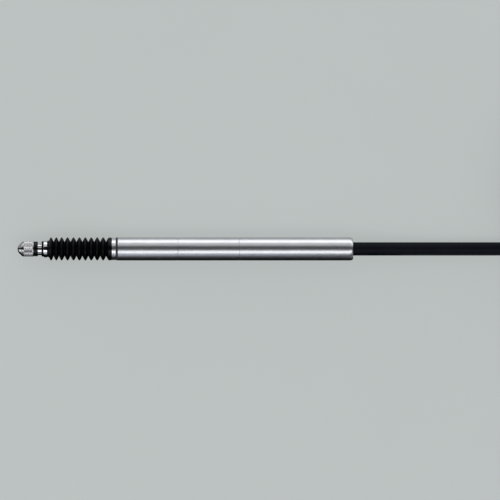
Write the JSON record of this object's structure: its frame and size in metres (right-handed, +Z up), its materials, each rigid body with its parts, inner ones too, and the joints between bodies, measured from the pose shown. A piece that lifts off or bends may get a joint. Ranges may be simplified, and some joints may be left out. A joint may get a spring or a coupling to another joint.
{
  "type": "digital gauge probe",
  "caption": "Slim plunger-type measuring probe with a domed contact, a rubber bellows, a round steel stem and body, and a straight rear cable.",
  "frame": {"origin": "on the resting plane, under the middle of the probe's length from tip to rear face, cable left out", "axes": "+X along the probe from the contact tip towards the cable, +Z up from the resting plane"},
  "size_m": [0.2933, 0.0439, 0.0304],
  "materials": {
    "carbide": "polished tungsten carbide",
    "knurled_steel": "straight-knurled satin steel",
    "cushion_rubber": "glossy black rubber",
    "spindle_steel": "ground steel",
    "clamp_steel": "polished turned steel",
    "bellows_rubber": "matt black moulded rubber",
    "gasket_rubber": "dull black rubber",
    "tube_steel": "satin-polished stainless steel",
    "bearing_steel": "ground bearing steel",
    "ball_steel": "polished bearing steel",
    "cage_brass": "turned brass",
    "collar_steel": "turned steel",
    "spring_steel": "drawn spring wire",
    "carrier_alloy": "plain machined alloy",
    "scale_magnet": "dark magnetic composite",
    "washer_rubber": "damping rubber",
    "holder_plastic": "black glass-filled plastic",
    "chip_plastic": "black epoxy packages",
    "board_green": "green solder mask",
    "lead_red": "insulated conductors",
    "bush_plastic": "black plastic",
    "ferrule_brass": "crimped brass",
    "cable_jacket": "satin black cable jacket",
    "strap_fabric": "black hook-and-loop strap",
    "plug_moulding": "black moulding",
    "plug_metal": "plated metal",
    "pin_gold": "gold-plated contacts"
  },
  "bodies": {
    "housing": {"bellows": "bellows_rubber", "bellows_rear_clamp": "clamp_steel", "gasket_ring": "gasket_rubber", "stem_tube": "tube_steel", "bearing_sleeve": "bearing_steel", "stop_washer": "washer_rubber", "guide_sleeve": "collar_steel", "return_spring": "spring_steel", "middle_tube": "tube_steel", "sensor_holder": "holder_plastic", "sensor_head": "chip_plastic", "circuit_board": "board_green", "board_chips": "chip_plastic", "lead_wires": "lead_red", "rear_tube": "tube_steel", "cable_bush": "bush_plastic", "crimp_ferrule": "ferrule_brass", "cable_run": "cable_jacket", "cable_hank": "cable_jacket", "cable_tail": "cable_jacket", "hank_strap": "strap_fabric", "plug_body": "plug_moulding", "plug_shell": "plug_metal", "plug_insert": "plug_moulding", "plug_pins": "pin_gold"},
    "spindle": {"contact_tip": "carbide", "contact_holder": "knurled_steel", "cushion_ring": "cushion_rubber", "spindle": "spindle_steel", "bellows_front_clamp": "clamp_steel", "stop_collar": "collar_steel", "guide_pin": "bearing_steel", "scale_carrier": "carrier_alloy", "magnetic_scale": "scale_magnet"},
    "ball_cage": {"ball_cage": "cage_brass", "bearing_balls": "ball_steel"}
  },
  "joints": [
    {"name": "spindle_slide", "type": "slide", "parent": "housing", "child": "spindle", "axis": [1, 0, 0], "range_m": [0, 0.012], "stiffness_N_per_m": 30, "springref_m": -0.02, "deforming": ["bellows", "return_spring"]},
    {"name": "cage_roll", "type": "slide", "parent": "housing", "child": "ball_cage", "axis": [1, 0, 0], "range_m": [0, 0.006]}
  ],
  "couplings": [
    {"joint": "cage_roll", "follows": "spindle_slide", "ratio": 0.5}
  ]
}
